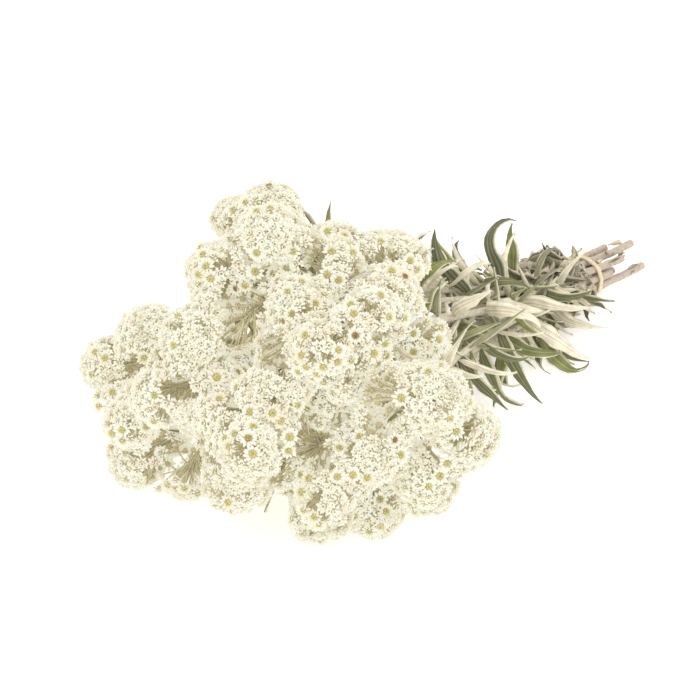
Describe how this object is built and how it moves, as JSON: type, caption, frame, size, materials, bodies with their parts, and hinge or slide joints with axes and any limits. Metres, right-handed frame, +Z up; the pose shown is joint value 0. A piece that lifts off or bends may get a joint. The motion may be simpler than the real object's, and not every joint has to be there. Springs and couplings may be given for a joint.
{
  "type": "cut flower bunch",
  "caption": "Cut bunch of pearly everlasting lying on its side: woolly leafy stems in an elastic band, each ending in a dense corymb of small white papery flower heads.",
  "frame": {"origin": "centre of the base of the bunch's bounding box, on the surface that it lies on", "axes": "+Z up from the surface, +X from the flower heads towards the cut ends, +Y to the side of the bunch that faces away from the picture's camera"},
  "size_m": [0.3782, 0.2188, 0.1679],
  "materials": {
    "petals": "papery white bracts, yellow-green discs, cream to pinkish backs",
    "stem_and_leaf": "woolly grey-cream stems, olive green leaves with cream felted undersides",
    "elastic": "plain cream rubber"
  },
  "bodies": {
    "root": {"leafy_stem_01": "stem_and_leaf", "corymb_01": "petals", "leafy_stem_02": "stem_and_leaf", "corymb_02": "petals", "leafy_stem_03": "stem_and_leaf", "corymb_03": "petals", "leafy_stem_04": "stem_and_leaf", "corymb_04": "petals", "leafy_stem_05": "stem_and_leaf", "corymb_05": "petals", "leafy_stem_06": "stem_and_leaf", "corymb_06": "petals", "leafy_stem_07": "stem_and_leaf", "corymb_07": "petals", "leafy_stem_08": "stem_and_leaf", "corymb_08": "petals", "leafy_stem_09": "stem_and_leaf", "corymb_09": "petals", "leafy_stem_10": "stem_and_leaf", "corymb_10": "petals", "leafy_stem_11": "stem_and_leaf", "corymb_11": "petals", "leafy_stem_12": "stem_and_leaf", "corymb_12": "petals", "leafy_stem_13": "stem_and_leaf", "corymb_13": "petals", "leafy_stem_14": "stem_and_leaf", "corymb_14": "petals", "elastic_band": "elastic"}
  },
  "joints": []
}
